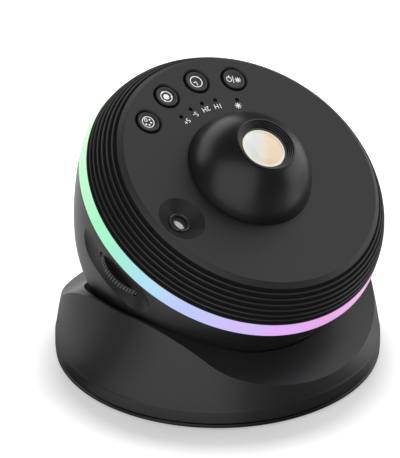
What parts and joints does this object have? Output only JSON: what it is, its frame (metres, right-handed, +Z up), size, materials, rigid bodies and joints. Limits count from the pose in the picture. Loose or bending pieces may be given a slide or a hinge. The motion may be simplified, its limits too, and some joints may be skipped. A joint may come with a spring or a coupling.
{
  "type": "planetarium projector",
  "caption": "Table-top star projector: a round head with a domed lens, glowing ring and control face, tilting in a round saddle base.",
  "frame": {"origin": "centre of the underside of the foot, on the table", "axes": "+Z up, the head leans towards -Y, the thumb wheel is on the -X side"},
  "size_m": [0.13, 0.1313, 0.1161],
  "materials": {
    "aluminium": "plain",
    "board_green": "green solder mask",
    "board_white": "white solder mask",
    "brass": "cut",
    "button_plastic": "matte black with white marks",
    "cast_iron": "as cast",
    "chip_plastic": "moulded black",
    "chrome_rim": "polished",
    "dome_plastic": "satin moulded black",
    "film_glass": "printed star field",
    "frame_plastic": "dark grey moulded",
    "led_white": "clear",
    "lens_glass": "polished",
    "light_diffuser": "translucent, lit from inside",
    "pad_felt": "black felt",
    "rubber_foot": "matte",
    "shell_plastic": "fine matte moulded black",
    "steel": "plated",
    "wheel_plastic": "matte black",
    "white_nylon": "natural nylon",
    "window_glass": "dark coated"
  },
  "bodies": {
    "foot": {"foot_plate": "shell_plastic", "foot_ring": "rubber_foot", "glide_ring": "white_nylon", "turntable_clamp": "steel", "clamp_screws": "steel"},
    "base": {"base_shell": "shell_plastic", "base_floor": "shell_plastic", "floor_screws": "steel", "base_weight": "cast_iron", "side_pads": "pad_felt"},
    "head": {"lower_shell": "shell_plastic", "shell_screws": "steel", "light_ring": "light_diffuser", "led_ring_board": "board_white", "ring_leds": "led_white", "upper_shell": "shell_plastic", "column_screws": "steel", "button_board": "board_green", "tact_switches": "steel", "indicator_pipes": "light_diffuser", "laser_bezel": "chrome_rim", "laser_window": "window_glass", "laser_module": "aluminium", "chassis": "frame_plastic", "wheel_axle": "steel", "guide_rods": "steel", "guide_tube": "aluminium", "condenser_lens": "lens_glass", "lamp_board": "board_white", "heat_sink": "aluminium", "main_board": "board_green", "board_parts": "chip_plastic", "usb_board": "board_green", "usb_socket": "steel"},
    "focus_wheel": {"focus_wheel": "wheel_plastic"},
    "focus_ring": {"focus_ring": "white_nylon"},
    "film_stage": {"film_stage": "frame_plastic", "disc_motor": "steel"},
    "film_carrier": {"disc_carrier": "white_nylon", "film_disc": "film_glass"},
    "drive_pinion": {"drive_pinion": "brass"},
    "dome": {"dome_cover": "dome_plastic", "lens_hood": "dome_plastic", "lens_barrel": "frame_plastic", "front_lens": "lens_glass", "rear_lens": "lens_glass"},
    "colour_button": {"colour_button": "button_plastic"},
    "star_button": {"star_button": "button_plastic"},
    "timer_button": {"timer_button": "button_plastic"},
    "power_button": {"power_button": "button_plastic"}
  },
  "joints": [
    {"name": "base_turn", "type": "hinge", "parent": "foot", "child": "base", "pos_m": [0, 0, 0], "axis": [0, 0, 1], "continuous": true},
    {"name": "head_tilt", "type": "hinge", "parent": "base", "child": "head", "pos_m": [0, 0, 0.0585], "axis": [1, 0, 0], "range_deg": [-60, 0]},
    {"name": "focus_ring_turn", "type": "hinge", "parent": "head", "child": "focus_ring", "pos_m": [0, 0, 0.0585], "axis": [0, -0.5, 0.866], "range_deg": [-46.8, 46.8]},
    {"name": "focus_wheel_turn", "type": "hinge", "parent": "head", "child": "focus_wheel", "pos_m": [-0.046, 0, 0.0585], "axis": [0, -0.5, 0.866], "range_deg": [-180, 180]},
    {"name": "focus_travel", "type": "slide", "parent": "head", "child": "film_stage", "axis": [0, -0.5, 0.866], "range_m": [-0.002, 0.002]},
    {"name": "film_turn", "type": "hinge", "parent": "film_stage", "child": "film_carrier", "pos_m": [0, 0, 0.0585], "axis": [0, -0.5, 0.866], "continuous": true},
    {"name": "pinion_turn", "type": "hinge", "parent": "film_stage", "child": "drive_pinion", "pos_m": [0.0288, 0, 0.0585], "axis": [0, -0.5, 0.866], "continuous": true},
    {"name": "dome_lift", "type": "slide", "parent": "head", "child": "dome", "axis": [0, -0.5, 0.866], "range_m": [0, 0.025]},
    {"name": "colour_press", "type": "slide", "parent": "head", "child": "colour_button", "axis": [0, 0.5, -0.866], "range_m": [0, 0.0008], "stiffness_N_per_m": 1500, "springref_m": -0.0004},
    {"name": "star_press", "type": "slide", "parent": "head", "child": "star_button", "axis": [0, 0.5, -0.866], "range_m": [0, 0.0008], "stiffness_N_per_m": 1500, "springref_m": -0.0004},
    {"name": "timer_press", "type": "slide", "parent": "head", "child": "timer_button", "axis": [0, 0.5, -0.866], "range_m": [0, 0.0008], "stiffness_N_per_m": 1500, "springref_m": -0.0004},
    {"name": "power_press", "type": "slide", "parent": "head", "child": "power_button", "axis": [0, 0.5, -0.866], "range_m": [0, 0.0008], "stiffness_N_per_m": 1500, "springref_m": -0.0004}
  ],
  "couplings": [
    {"joint": "focus_wheel_turn", "follows": "focus_ring_turn", "ratio": -3.8421},
    {"joint": "focus_travel", "follows": "focus_ring_turn", "m_per_rad": 0.00244},
    {"joint": "pinion_turn", "follows": "film_turn", "ratio": -5}
  ]
}
